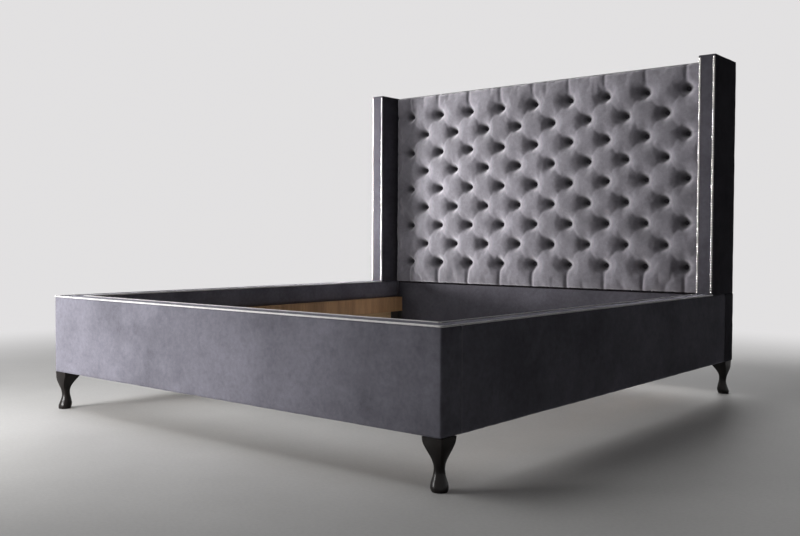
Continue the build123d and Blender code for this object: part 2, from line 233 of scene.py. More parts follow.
# Wood: rings, and how much finer the grain and the pores are
ring_scale = 9.0
grain_ratio = 6
pore_ratio = 60
along_grain = 0.05
grain_share = 0.7
pore_share = 0.6
grain_bump = (0.3, 0.0008)
pore_bump = (0.25, 0.0004)
ring_stops = (0.35, 0.6)
grain_ramp = [(0.35, (0.62, 0.58, 0.54)), (0.6, (1.0, 1.0, 1.0))]
pore_ramp = [(0.32, (0.6, 0.56, 0.52)), (0.45, (1.0, 1.0, 1.0))]
timber_roughness = (0.54, 0.76)
pine_colours = ((0.42, 0.28, 0.14), (0.62, 0.44, 0.25))

# Lacquer
lacquer_ramp = [(0.3, (0.004, 0.003, 0.003)), (0.75, (0.012, 0.009, 0.008))]
lacquer_roughness = (0.22, 0.42)
lacquer_specular = 0.12
lacquer_coat = 0.14
lacquer_coat_roughness = 0.1
lacquer_bump = (0.12, 0.0006)

# Metal and painted steel
tarnish_share = 0.55
tarnish_stops = (0.3, 0.6)
scratch_ratio = 14
scratch_bump = (0.1, 0.0002)
paint_ramp = [
    (0.3, (0.022, 0.021, 0.021)), (0.68, (0.04, 0.038, 0.036)), (0.74, (0.09, 0.085, 0.08)),
]
paint_roughness = (0.35, 0.6)
paint_bump = (0.15, 0.0002)

# Floor and background
background = (0.76, 0.75, 0.755)
floor_size = 60
floor_fade_start = 2.0
floor_fade_end = 4.2
floor_ramp = [(0.3, (0.55, 0.545, 0.535)), (0.7, (0.68, 0.675, 0.665))]
grit_ramp = [(0.3, (0.93, 0.93, 0.93)), (0.7, (1.0, 1.0, 1.0))]
floor_roughness = (0.5, 0.75)
grit_bump = (0.08, 0.001)

# Light
daylight = (1.0, 0.99, 0.98)
sky_colour = (0.94, 0.95, 1.0)
sky_strength = 0.02

# Camera, as solved from the photograph
camera_place = (2.442, -3.0518, 0.6851)
camera_yaw = 39.48
camera_dip = 1.719
camera_roll = 0.25
camera_lens = 41.15
camera_sensor = 36

# Places of the colours in a Mix node's sockets
mix_first = 6
mix_second = 7
mix_result = 2


def corners(node):
    """A node's lowest and highest corners as arrays."""
    low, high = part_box(node)
    return np.array(low), np.array(high)


foot_low, foot_high = corners("foot_cover")
rail_low, rail_high = corners("right_rail_cover")
body_low, body_high = corners("headboard_lower_cover")
wing_low, wing_high = corners("right_wing_cover")
top_low, top_high = corners("headboard_top_padding")
back_low, back_high = corners("headboard_back_cover")
panel_low, panel_high = corners("tufted_panel")
ledger_top = corners("right_ledger")[1][2]
board_front = corners("headboard_front_board")[0][1]


def waves(points, length, seed):
    """Smooth seeded noise of about plus or minus one, with bumps of about the given length."""
    rng = np.random.default_rng(seed)
    ways = rng.normal(size=(wave_count, 3))
    ways /= np.linalg.norm(ways, axis=1)[:, None]
    sizes = rng.uniform(*wave_spread, wave_count) * 2 * math.pi / length
    phases = rng.uniform(0, 2 * math.pi, wave_count)
    total = np.zeros(len(points))
    for way, size, phase in zip(ways, sizes, phases):
        total += np.sin(points @ (way * size) + phase)
    return total / math.sqrt(wave_count / 2) / wave_peak


def mesh_piece(name, points, faces, material):
    """A new smooth-shaded object that rides on the bed."""
    mesh = bpy.data.meshes.new(name)
    mesh.from_pydata([tuple(p) for p in points], [], [tuple(int(i) for i in f) for f in faces])
    mesh.validate()
    mesh.update()
    mesh.polygons.foreach_set("use_smooth", [True] * len(mesh.polygons))
    piece = bpy.data.objects.new(name, mesh)
    bpy.context.scene.collection.objects.link(piece)
    piece.data.materials.append(material)
    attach(piece, "root")
    return piece


def apply_modifier(piece, modifier):
    """Applies one modifier to its mesh."""
    bpy.context.view_layer.objects.active = piece
    bpy.ops.object.select_all(action="DESELECT")
    piece.select_set(True)
    bpy.ops.object.modifier_apply(modifier=modifier.name)


def grid_quads(numbers):
    """The faces between the points of a grid, from their numbers."""
    return np.stack(
        [numbers[:-1, :-1], numbers[1:, :-1], numbers[1:, 1:], numbers[:-1, 1:]], axis=-1
    ).reshape(-1, 4)


def border_distance(x, z, low, high):
    """How far places on an upright rectangle are from its nearest side."""
    return np.minimum(np.minimum(x - low[0], high[0] - x), np.minimum(z - low[2], high[2] - z))


# Materials
def new_material(name):
    """An empty node material with its shader and object coordinates."""
    material = bpy.data.materials.new(name)
    material.use_nodes = True
    tree = material.node_tree
    shader = tree.nodes["Principled BSDF"]
    place = tree.nodes.new("ShaderNodeTexCoord").outputs["Object"]
    return material, tree, shader, place


def noise(tree, place, scale, detail=3.0, stretch=None, roughness=0.55):
    """A noise value, with its pattern stretched along some axes if asked."""
    if stretch:
        mapping = tree.nodes.new("ShaderNodeMapping")
        mapping.inputs["Scale"].default_value = stretch
        tree.links.new(place, mapping.inputs["Vector"])
        place = mapping.outputs["Vector"]
    node = tree.nodes.new("ShaderNodeTexNoise")
    node.inputs["Scale"].default_value = scale
    node.inputs["Detail"].default_value = detail
    node.inputs["Roughness"].default_value = roughness
    tree.links.new(place, node.inputs["Vector"])
    return node.outputs["Fac"]


def ramp(tree, value, stops):
    """A colour ramp through the given positions and colours."""
    node = tree.nodes.new("ShaderNodeValToRGB")
    points = node.color_ramp.elements
    while len(points) < len(stops):
        points.new(0.5)
    for point, (position, colour) in zip(points, stops):
        point.position = position
        point.color = (*colour, 1)
    tree.links.new(value, node.inputs["Fac"])
    return node.outputs["Color"]


def multiplied(tree, first, second, share):
    """Two colours multiplied, with the second one's effect at a share of its strength."""
    node = tree.nodes.new("ShaderNodeMix")
    node.data_type = "RGBA"
    node.blend_type = "MULTIPLY"
    node.inputs["Factor"].default_value = share
    tree.links.new(first, node.inputs[mix_first])
    tree.links.new(second, node.inputs[mix_second])
    return node.outputs[mix_result]


def mapped(tree, value, start=(0.0, 1.0), end=(0.0, 1.0)):
    """A value moved from one range into another."""
    node = tree.nodes.new("ShaderNodeMapRange")
    node.inputs["From Min"].default_value = start[0]
    node.inputs["From Max"].default_value = start[1]
    node.inputs["To Min"].default_value = end[0]
    node.inputs["To Max"].default_value = end[1]
    tree.links.new(value, node.inputs["Value"])
    return node


def set_roughness(tree, shader, value, limits):
    """Lets the shader's roughness follow a value between two limits."""
    tree.links.new(mapped(tree, value, end=limits).outputs["Result"], shader.inputs["Roughness"])


def bump(tree, shader, layers):
    """Bump layers, each a value with its strength and depth, joined in a row."""
    last = None
    for value, (strength, depth) in layers:
        node = tree.nodes.new("ShaderNodeBump")
        node.inputs["Strength"].default_value = strength
        node.inputs["Distance"].default_value = depth
        tree.links.new(value, node.inputs["Height"])
        if last is not None:
            tree.links.new(last, node.inputs["Normal"])
        last = node.outputs["Normal"]
    tree.links.new(last, shader.inputs["Normal"])


def shade_pits(tree, place, base):
    """Paints shade into a colour: darker down into the panel's pits and along its bottom seam."""
    split = tree.nodes.new("ShaderNodeSeparateXYZ")
    tree.links.new(place, split.inputs[0])
    seam = mapped(tree, split.outputs["Z"], start=(panel_low[2], panel_low[2] + seam_shade))
    base = multiplied(tree, base, ramp(tree, seam.outputs["Result"], seam_shade_ramp), 1.0)
    depth = mapped(tree, split.outputs["Y"], start=(board_front - crown_height, board_front))
    return multiplied(tree, base, ramp(tree, depth.outputs["Result"], pit_shade_ramp), 1.0)


def velvet(
    name, colour, sheen, nap=1.0, shaded_pits=False, gloss=0.0,
    tint=(0.72, 0.71, 0.8), spread=0.35, relief=1.0,
):
    """Short-pile velvet: brushed patches, crumples, fine pile and a soft sheen at its edges."""
    material, tree, shader, place = new_material(name)
    dark = tuple(c * (1 - patch_dark * nap) for c in colour)
    light = tuple(min(1, c * (1 + patch_light * nap)) for c in colour)
    broad = noise(tree, place, patch_scale, detail=5.0, roughness=0.62)
    patches = ramp(tree, broad, list(zip(patch_stops, (dark, light))))
    strokes = noise(tree, place, stroke_scale, detail=6.0, roughness=0.72)
    crumple = noise(tree, place, crumple_scale, detail=5.0, roughness=0.7)
    pile = noise(tree, place, pile_scale, detail=2.0)
    base = multiplied(tree, patches, ramp(tree, strokes, stroke_ramp), stroke_share)
    base = multiplied(tree, base, ramp(tree, pile, pile_ramp), pile_share)
    base = multiplied(tree, base, ramp(tree, crumple, crumple_ramp), nap / crumple_part)
    # Painted shade: the colour darkens down into the pits and along the bottom seam.
    if shaded_pits:
        base = shade_pits(tree, place, base)
    tree.links.new(base, shader.inputs["Base Color"])
    set_roughness(tree, shader, strokes, velvet_roughness)
    shader.inputs["Specular IOR Level"].default_value = gloss
    shader.inputs["Sheen Weight"].default_value = sheen
    shader.inputs["Sheen Roughness"].default_value = spread
    shader.inputs["Sheen Tint"].default_value = (*tint, 1)
    raised = [
        (strokes, (stroke_bump[0] * relief, stroke_bump[1])),
        (crumple, (crumple_bump[0] * relief, crumple_bump[1] * relief)),
        (pile, pile_bump),
    ]
    bump(tree, shader, raised)
    return material


def wood(name, colours, grain_axis, scale=ring_scale):
    """Planed timber with long grain, pores and a few darker streaks."""
    material, tree, shader, place = new_material(name)
    stretch = [1.0, 1.0, 1.0]
    stretch[grain_axis] = along_grain
    stretch = tuple(stretch)
    grain = noise(tree, place, scale * grain_ratio, detail=6.0, stretch=stretch, roughness=0.65)
    rings = noise(tree, place, scale, stretch=stretch)
    pores = noise(tree, place, scale * pore_ratio, detail=2.0, stretch=stretch)
    broad = ramp(tree, rings, list(zip(ring_stops, colours)))
    base = multiplied(tree, broad, ramp(tree, grain, grain_ramp), grain_share)
    base = multiplied(tree, base, ramp(tree, pores, pore_ramp), pore_share)
    tree.links.new(base, shader.inputs["Base Color"])
    set_roughness(tree, shader, grain, timber_roughness)
    bump(tree, shader, [(grain, grain_bump), (pores, pore_bump)])
    return material


def lacquer(name):
    """Near-black gloss lacquer over turned wood, with faint brush marks and worn warmth."""
    material, tree, shader, place = new_material(name)
    cloud = noise(tree, place, scale=18.0, detail=4.0)
    streaks = noise(tree, place, scale=60.0, detail=4.0, stretch=(1.0, 1.0, 0.12))
    tree.links.new(ramp(tree, cloud, lacquer_ramp), shader.inputs["Base Color"])
    set_roughness(tree, shader, streaks, lacquer_roughness)
    shader.inputs["Specular IOR Level"].default_value = lacquer_specular
    shader.inputs["Coat Weight"].default_value = lacquer_coat
    shader.inputs["Coat Roughness"].default_value = lacquer_coat_roughness
    bump(tree, shader, [(streaks, lacquer_bump)])
    return material


def metal(name, colour, limits, scale):
    """Bare metal with cloudy tarnish and fine scratches."""
    material, tree, shader, place = new_material(name)
    cloud = noise(tree, place, scale, detail=4.0)
    scratch = noise(tree, place, scale * scratch_ratio, stretch=(1.0, 0.3, 1.0))
    worn = tuple(c * tarnish_share for c in colour)
    tarnish = ramp(tree, cloud, list(zip(tarnish_stops, (worn, colour))))
    tree.links.new(tarnish, shader.inputs["Base Color"])
    shader.inputs["Metallic"].default_value = 1.0
    set_roughness(tree, shader, scratch, limits)
    bump(tree, shader, [(scratch, scratch_bump)])
    return material


def painted(name):
    """Black paint on steel, slightly uneven, with a few rubbed spots."""
    material, tree, shader, place = new_material(name)
    rub = noise(tree, place, scale=45.0, detail=5.0)
    orange_peel = noise(tree, place, scale=420.0, detail=2.0)
    tree.links.new(ramp(tree, rub, paint_ramp), shader.inputs["Base Color"])
    set_roughness(tree, shader, rub, paint_roughness)
    bump(tree, shader, [(orange_peel, paint_bump)])
    return material


def joined(tree, operation, first, second):
    """Two values joined by a sum."""
    node = tree.nodes.new("ShaderNodeMath")
    node.operation = operation
    tree.links.new(first, node.inputs[0])
    tree.links.new(second, node.inputs[1])
    return node.outputs[0]


def shown_rays(tree):
    """A value of 1 for rays that come from the camera or by way of metal or glass."""
    path = tree.nodes.new("ShaderNodeLightPath").outputs
    seen = joined(tree, "MAXIMUM", path["Is Camera Ray"], path["Is Transmission Ray"])
    return joined(tree, "MAXIMUM", seen, path["Is Glossy Ray"])


def mixed_shader(tree, share, first, second, output):
    """Mixes two shaders by a share and shows the result."""
    node = tree.nodes.new("ShaderNodeMixShader")
    for socket, source in zip(node.inputs, (share, first.outputs[0], second.outputs[0])):
        tree.links.new(source, socket)
    tree.links.new(node.outputs[0], tree.nodes[output].inputs["Surface"])


def concrete(name):
    """The pale floor, with faint trowel clouds, which fades into the background far out."""
    material, tree, shader, place = new_material(name)
    cloud = noise(tree, place, scale=0.8, detail=6.0, roughness=0.6)
    grit = noise(tree, place, scale=90.0, detail=4.0)
    base = multiplied(tree, ramp(tree, cloud, floor_ramp), ramp(tree, grit, grit_ramp), 1.0)
    tree.links.new(base, shader.inputs["Base Color"])
    set_roughness(tree, shader, cloud, floor_roughness)
    bump(tree, shader, [(grit, grit_bump)])
    away = tree.nodes.new("ShaderNodeVectorMath")
    away.operation = "LENGTH"
    tree.links.new(place, away.inputs[0])
    fade = mapped(tree, away.outputs["Value"], start=(floor_fade_start, floor_fade_end))
    fade.interpolation_type = "SMOOTHSTEP"
    share = joined(tree, "MULTIPLY", fade.outputs["Result"], shown_rays(tree))
    far = tree.nodes.new("ShaderNodeEmission")
    far.inputs["Color"].default_value = (*background, 1)
    mixed_shader(tree, share, shader, far, "Material Output")
    return material


velvet_plain = velvet("velvet_plain", (0.2, 0.196, 0.232), sheen=0.35)
# A darker copy of the plain velvet: painted shade on the wings, the lower headboard and its top.
velvet_head_shaded = velvet("velvet_head_shaded", (0.075, 0.072, 0.085), sheen=0.2)
# A somewhat darker copy of the plain velvet: painted shade on the back of the headboard.
velvet_back_shaded = velvet("velvet_back_shaded", (0.125, 0.122, 0.144), sheen=0.3)
# A near-black velvet without sheen: painted shade for the bottoms of the pits and the panel's
# bottom seam.
velvet_painted_shade = velvet("velvet_painted_shade", (0.025, 0.023, 0.027), sheen=0.0, nap=0.5)
# The tufted velvet has painted shade in its pits and along its bottom seam.
velvet_tufted = velvet(
    "velvet_tufted", (0.108, 0.102, 0.118), sheen=0.85, nap=1.3, shaded_pits=True,
    tint=(0.97, 0.95, 1.0), spread=0.52, relief=2.2,
)
# Velvet buttons made near black without sheen: painted shade at the bottoms of the pits.
velvet_shaded_button = velvet("velvet_shaded_button", (0.03, 0.028, 0.033), sheen=0.0, nap=0.4)
# Welt cords made near white: a painted highlight for the light they catch along the top edges.
velvet_welt_highlight = velvet("velvet_welt_highlight", (0.9, 0.88, 0.87), sheen=1.0, nap=0.3, gloss=0.5)
ledger_wood = wood("ledger_wood", ((0.36, 0.21, 0.105), (0.62, 0.37, 0.19)), 2, scale=5.0)
pine = wood("pine", pine_colours, 1)
upright_pine = wood("upright_pine", pine_colours, 2)
cross_pine = wood("cross_pine", pine_colours, 0)
raw_board = wood("raw_board", ((0.36, 0.25, 0.15), (0.5, 0.37, 0.23)), 0, scale=30.0)
black_lacquer = lacquer("black_lacquer")
nickel = metal("nickel", (0.62, 0.6, 0.58), limits=(0.14, 0.32), scale=40.0)
dull_strip = metal("dull_strip", (0.1, 0.097, 0.1), limits=(0.5, 0.7), scale=60.0)
black_steel = painted("black_steel")

node_materials = {
    "left_ledger": ledger_wood,
    "right_ledger": ledger_wood,
    "left_rail_plank": pine,
    "right_rail_plank": pine,
    "foot_outer_board": raw_board,
    "foot_inner_board": raw_board,
    "foot_battens": cross_pine,
    "foot_posts": upright_pine,
    "headboard_posts": upright_pine,
    "headboard_cross_rails": cross_pine,
    "headboard_front_board": raw_board,
    "headboard_back_panel": raw_board,
    "left_wing_core": upright_pine,
    "right_wing_core": upright_pine,
    "legs": black_lacquer,
    "left_wing_nail_strips": dull_strip,
    "right_wing_nail_strips": dull_strip,
    "foot_corner_angles": black_steel,
    "head_corner_angles": black_steel,
}
for node, material in node_materials.items():
    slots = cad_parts[node].data.materials
    for i in range(len(slots)):
        slots[i] = material


# Padded covers: a box with rolled edges and a slight crown, open where the frame is bare
def grid_marks(low, high, roundness):
    """Grid places along one side, close together in the rolled edges."""
    count = max(2, round((high - low) / grid_step))
    middle = np.linspace(low + roundness, high - roundness, count)
    if not roundness:
        return middle
    edge = roundness * np.arange(edge_steps) / edge_steps
    return np.concatenate([low + edge, middle, high - edge[::-1]])


def box_grid(low, high, rounds):
    """Points and faces of a box, with a grid on each side, joined at the edges."""
    marks = [grid_marks(low[k], high[k], rounds[k]) for k in range(3)]
    points = []
    faces = []
    for axis in range(3):
        a, b = (axis + 1) % 3, (axis + 2) % 3
        for end in (low[axis], high[axis]):
            grid = np.zeros((len(marks[a]), len(marks[b]), 3))
            grid[:, :, axis] = end
            grid[:, :, a] = marks[a][:, None]
            grid[:, :, b] = marks[b][None, :]
            numbers = np.arange(len(marks[a]) * len(marks[b])).reshape(grid.shape[:2])
            quads = grid_quads(len(points) + numbers)
            points.extend(grid.reshape(-1, 3))
            faces.extend(quads[:, ::-1] if end == low[axis] else quads)
    points = np.array(points)
    _, first, back = np.unique(
        np.round(points, weld_digits), axis=0, return_index=True, return_inverse=True
    )
    return points[first], back.reshape(-1)[np.array(faces)]


def padded_box(low, high, roundness, rolled, crown, seed, keep=None):
    """Points and faces of a padded box. rolled says which axes have rolled ends."""
    low = np.array(low, float)
    high = np.array(high, float)
    rounds = np.array([roundness if axis_rolled else 0.0 for axis_rolled in rolled])
    points, faces = box_grid(low, high, rounds)
    core = np.clip(points, low + rounds, high - rounds)
    out = points - core
    size = np.linalg.norm(out, axis=1)
    in_roll = size[:, None] > tiny
    ways = np.where(in_roll, out / np.maximum(size, tiny)[:, None], 0)
    rounded = np.where(in_roll, core + ways * roundness, points)
    middle = (low + high) / 2
    flat = size < tiny
    every = np.arange(len(points))
    side = np.argmax(np.abs((points - middle) / (high - low)), axis=1)
    sign = np.sign((points - middle)[every, side])
    ways[flat] = 0
    ways[flat, side[flat]] = sign[flat]
    inset = np.minimum(points - low, high - points)
    inset[every, side] = beyond
    reach = np.clip(inset.min(axis=1), 0, None)
    swell = crown * (1 - np.exp(-reach / crown_reach))
    swell = swell * (1 + crown_drift * waves(points, crown_drift_length, seed))
    swell = swell + ripple_height * waves(points, ripple_length, seed + 1)
    ends = np.array([not axis_rolled for axis_rolled in rolled])[side] & flat
    swell[ends] = 0
    moved = rounded + ways * swell[:, None]
    if keep is None:
        return moved, faces
    centres = moved[faces].mean(axis=1)
    start = moved[faces[:, 0]]
    normals = np.cross(moved[faces[:, 1]] - start, moved[faces[:, 3]] - start)
    normals /= np.maximum(np.linalg.norm(normals, axis=1), least_area)[:, None]
    return moved, faces[keep(centres, normals)]


def solid_sheet(piece, thickness):
    """Gives an open cover the thickness of its cloth, inwards."""
    shell = piece.modifiers.new("thickness", "SOLIDIFY")
    shell.thickness = thickness
    shell.offset = -1
    apply_modifier(piece, shell)


def padded_cover(
    name, low, high, roundness, rolled, seed, keep, nodes,
    crown=foam_crown, shape=None, cloth=velvet_plain,
):
    """A velvet cover over foam, which replaces the frame's own layers."""
    points, faces = padded_box(low, high, roundness, rolled, crown, seed, keep)
    if shape:
        points = shape(points)
    piece = mesh_piece(name, points, faces, cloth)
    solid_sheet(piece, cover_cloth)
    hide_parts(*nodes)


def rail_faces(sign):
    """Chooses the faces of one rail's cover."""
    def keep(centres, normals):
        """All but the bare plank inside and under the rail."""
        lined = np.abs(centres[:, 0] - sign * rail_low[0]) < inner_skin
        depth = sign * (sign * rail_high[0] - centres[:, 0])
        under = (normals[:, 2] < -facing) & (depth > hem)
        ends = (np.abs(normals[:, 1]) > facing) & (depth > hem)
        return ~(lined & (centres[:, 2] < ledger_top) | under | ends)

    return keep


def keep_foot(centres, normals):
    """All but the bare timber under the foot panel."""
    inset = np.minimum(centres - foot_low, foot_high - centres)[:, :2].min(axis=1)
    return ~((normals[:, 2] < -facing) & (inset > hem))


def keep_body(centres, normals):
    """The front strip and the sides, without the back, the underside or the covered top."""
    under = (normals[:, 2] < -facing) & (centres[:, 1] > body_low[1] + hem)
    return ~((normals[:, 1] > facing) | under)


def keep_wing(centres, normals):
    """All but the back and the foot of the wing."""
    return ~((normals[:, 1] > facing) | (normals[:, 2] < -facing))


def square_foot(points):
    """Sharpens the back corners, where the rails' covers butt against the foot's."""
    outward = np.clip((np.abs(points[:, 0]) - corner_start) / corner_reach, 0, 1)
    below = np.clip((foot_high[2] - foot_roundness - points[:, 2]) / corner_fade, 0, 1)
    share = outward * below
    middle = (foot_low[1] + foot_high[1]) / 2
    old = foot_high[1] - foot_roundness
    new = foot_high[1] - butt_roundness
    y = points[:, 1]
    moved = np.where(
        y > old,
        new + (y - old) * butt_roundness / foot_roundness,
        middle + (y - middle) * (new - middle) / (old - middle),
    )
    points[:, 1] = np.where(y > middle, y + share * (moved - y), y)
    return points


for side, sign in (("left", -1), ("right", 1)):
    x_low, x_high = sorted([sign * rail_low[0], sign * rail_high[0]])
    padded_cover(
        f"{side}_rail_velvet",
        (x_low, rail_low[1] + seam_gap, rail_low[2]),
        (x_high, rail_high[1] - seam_gap, rail_high[2]),
        edge_roundness, (True, False, True), rail_seeds[side], rail_faces(sign),
        (f"{side}_rail_cover", f"{side}_rail_padding"),
    )

padded_cover(
    "foot_velvet", foot_low, foot_high, foot_roundness, (True, True, True), foot_seed, keep_foot,
    ("foot_cover", "foot_padding"), shape=square_foot,
)
padded_cover(
    "headboard_lower_velvet", body_low, (*body_high[:2], body_high[2] - body_top_gap),
    body_roundness, (True, False, True), body_seed, keep_body,
    ("headboard_lower_cover", "headboard_lower_padding"), crown=firm_crown, cloth=velvet_head_shaded,
)

for side, sign in (("left", -1), ("right", 1)):
    x_low, x_high = sorted([sign * wing_low[0], sign * wing_high[0]])
    padded_cover(
        f"{side}_wing_velvet", (x_low, *wing_low[1:]), (x_high, *wing_high[1:]),
        wing_roundness, (True, True, True), wing_seeds[side], keep_wing,
        (f"{side}_wing_cover", f"{side}_wing_padding"), crown=firm_crown, cloth=velvet_head_shaded,
    )

points, faces = padded_box(
    (top_low[0], board_front + top_front_gap, top_low[2]),
    (top_high[0], back_high[1] - top_back_gap, back_high[2]),
    top_roundness, (False, True, True), top_crown, top_seed,
)
top_velvet = mesh_piece("headboard_top_velvet", points, faces, velvet_head_shaded)
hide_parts("headboard_top_padding")


def back_sheet():
    """The cloth stretched over the back, drawn slightly in between the posts."""
    xs = np.linspace(back_low[0], back_high[0], back_columns)
    zs = np.linspace(back_low[2], back_high[2], back_rows)
    x, z = np.meshgrid(xs, zs, indexing="ij")
    flat = np.stack([x.ravel(), np.zeros(x.size), z.ravel()], axis=1)
    inset = border_distance(flat[:, 0], flat[:, 2], back_low, back_high)
    sag = back_sag * (1 - np.exp(-inset / back_sag_reach))
    sag = sag * (1 + back_drift * waves(flat, back_drift_length, back_seed))
    flat[:, 1] = back_high[1] - back_gap - sag
    quads = grid_quads(np.arange(x.size).reshape(x.shape))[:, [0, 3, 2, 1]]
    piece = mesh_piece("headboard_back_velvet", flat, quads, velvet_back_shaded)
    solid_sheet(piece, back_cloth)
    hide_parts("headboard_back_cover")


back_sheet()


# Deep buttoning
pitch = 2 * wing_low[0] / button_columns
grid_height = panel_high[2] - panel_low[2] - top_margin - bottom_margin
row_pitch = grid_height / (button_rows - 1)


def pit(row, column):
    """A pit's place across and up."""
    count = button_columns - row % 2
    across = (column - (count - 1) / 2) * pitch
    return across, panel_low[2] + bottom_margin + row * row_pitch


pits = [pit(r, c) for r in range(button_rows) for c in range(button_columns - r % 2)]


def creases():
    """Start and end of every fold between pits and every pleat out to the border."""
    lines = []
    last = button_rows - 1
    for row in range(last):
        for column in range(button_columns - row % 2):
            for other in (column - 1 + row % 2, column + row % 2):
                if 0 <= other < button_columns - (row + 1) % 2:
                    lines.append((pit(row, column), pit(row + 1, other), False))
    for column in range(button_columns):
        x, z = pit(0, column)
        lines.append(((x, z), (x, panel_low[2]), True))
        x, z = pit(last, column)
        lines.append(((x, z), (x, panel_high[2]), True))
    for row in range(0, button_rows, 2):
        x, z = pit(row, 0)
        lines.append(((x, z), (panel_low[0], z), True))
        lines.append(((-x, z), (panel_high[0], z), True))
    return lines


def funnels(x, z, rng):
    """How far each place is drawn in by the buttons, its small folds, and the nearest button."""
    drawn = np.ones(len(x))
    ripple = np.zeros(len(x))
    nearest = np.full(len(x), beyond)
    for px, pz in pits:
        dx = x - px
        dz = z - pz
        away = np.hypot(dx, dz)
        reach = funnel_reach * rng.uniform(*funnel_spread)
        drawn *= 1 - np.exp(-((away / reach) ** funnel_power))
        nearest = np.minimum(nearest, away)
        near = away < spoke_limit
        angle = np.arctan2(dz[near], dx[near])
        spokes = sum(
            rng.uniform(*spoke_strength) * np.sin(k * angle + rng.uniform(0, turn_range))
            for k in spoke_counts
        )
        shown = np.exp(-away[near] / spoke_fade) * (1 - np.exp(-away[near] / spoke_start))
        ripple[near] += spokes * shown
    return drawn, ripple, nearest


def crease_cuts(x, z, rng):
    """How deep the folds and the border pleats cut in at each place."""
    cut = np.zeros(len(x))
    for (x0, z0), (x1, z1), border in creases():
        run = np.array([x1 - x0, z1 - z0])
        length = np.linalg.norm(run)
        run /= length
        along = (x - x0) * run[0] + (z - z0) * run[1]
        across = (z - z0) * run[0] - (x - x0) * run[1]
        inside = np.clip(along, 0, length)
        bend = rng.uniform(-fold_bend, fold_bend) * np.sin(math.pi * inside / length)
        distance = np.hypot(across + bend, along - inside)
        if border:
            share = bottom_pleat if z1 < z0 else top_pleat
            taper = np.exp(-inside / pleat_taper)
            deep = pleat_depth * rng.uniform(*pleat_spread) * (share + pleat_gain * taper)
            width = pleat_width + pleat_flare * taper
        else:
            ends = np.minimum(inside, length - inside)
            deep = fold_depth * rng.uniform(*fold_spread) + fold_pull * np.exp(-ends / fold_fade)
            width = fold_width
        cut = np.maximum(cut, deep * np.exp(-((distance / width) ** crease_power)))
    return cut


def panel_heights(x, z):
    """The velvet before it settles: its height in front of the board, and how firmly it is held."""
    rng = np.random.default_rng(funnel_seed)
    drawn, ripple, nearest = funnels(x, z, rng)
    cut = crease_cuts(x, z, rng)
    spots = np.stack([x, 0 * x, z], axis=1)
    crown = crown_height * (1 + panel_drift * waves(spots, panel_drift_length, panel_seed))
    crown = crown + grain_height * waves(spots, grain_length, panel_seed + 1)
    height = pit_depth + drawn * (crown - pit_depth - cut) + spoke_height * ripple
    edge = border_distance(x, z, panel_low, panel_high)
    pucker = pucker_height * waves(spots * pucker_stretch, pucker_length, panel_seed + 2)
    height += pucker * np.exp(-edge / pucker_reach)
    rolled = np.sqrt(1 - np.clip(1 - edge / edge_roll, 0, 1) ** 2)
    height = border_rim + (height - border_rim) * rolled
    fixed = (nearest < pin_reach) | (edge < border_pin)
    held = np.where(fixed, 1.0, border_hold * np.exp(-edge / border_hold_reach))
    return height, held


def relax(piece, held):
    """Lets the velvet settle as cloth under the foam's pressure, held at its buttons and border."""
    group = piece.vertex_groups.new(name="held")
    for number in np.nonzero(held > least_hold)[0]:
        group.add([int(number)], float(held[number]), "REPLACE")
    cloth = piece.modifiers.new("cloth", "CLOTH")
    settings = cloth.settings
    settings.quality = cloth_quality
    settings.mass = cloth_mass
    settings.tension_stiffness = cloth_stiffness
    settings.compression_stiffness = cloth_stiffness
    settings.shear_stiffness = cloth_shear
    settings.bending_stiffness = cloth_bending
    settings.use_pressure = True
    settings.uniform_pressure_force = cloth_pressure
    settings.effector_weights.gravity = 0
    settings.vertex_group_mass = "held"
    settings.shrink_min = -cloth_growth
    cloth.point_cache.frame_start = 1
    cloth.point_cache.frame_end = cloth_frames
    for step in range(1, cloth_frames + 1):
        bpy.context.scene.frame_set(step)
    start = np.empty(3 * len(held))
    piece.data.vertices.foreach_get("co", start)
    settled = np.empty(3 * len(held))
    shaped = piece.evaluated_get(bpy.context.evaluated_depsgraph_get())
    shaped.data.vertices.foreach_get("co", settled)
    moved = (settled - start).reshape(-1, 3)
    size = np.linalg.norm(moved, axis=1)
    moved *= np.minimum(1, cloth_cap / np.maximum(size, tiny))[:, None]
    piece.modifiers.remove(cloth)
    piece.vertex_groups.remove(group)
    piece.data.vertices.foreach_set("co", start + moved.ravel())
    piece.data.update()
    bpy.context.scene.frame_set(1)


def close_back(piece):
    """Carries the border back to the board and closes it there."""
    solid = bmesh.new()
    solid.from_mesh(piece.data)
    rim = [edge for edge in solid.edges if edge.is_boundary]
    grown = bmesh.ops.extrude_edge_only(solid, edges=rim)["geom"]
    for vertex in [part for part in grown if isinstance(part, bmesh.types.BMVert)]:
        vertex.co.y = board_front - panel_back_gap
    back = [part for part in grown if isinstance(part, bmesh.types.BMEdge) and part.is_boundary]
    bmesh.ops.holes_fill(solid, edges=back, sides=0)
    bmesh.ops.recalc_face_normals(solid, faces=solid.faces)
    solid.to_mesh(piece.data)
    solid.free()
    piece.data.polygons.foreach_set("use_smooth", [True] * len(piece.data.polygons))


def paint_pit_shade(piece):
    """Gives the bottoms of the pits and the bottom seam a dark velvet without sheen: painted shade.
    """
    piece.data.materials.append(velvet_painted_shade)
    centres = np.empty(3 * len(piece.data.polygons))
    piece.data.polygons.foreach_get("center", centres)
    x, y, z = centres.reshape(-1, 3).T
    shaded_faces = (y > board_front - pit_shade_height) & (np.abs(x) < panel_high[0] - edge_roll)
    shaded_faces &= (z > panel_low[2] + edge_roll) & (z < panel_high[2] - edge_roll)
    shaded_faces |= z < panel_low[2] + seam_shade_width
    piece.data.polygons.foreach_set("material_index", shaded_faces.astype(int))


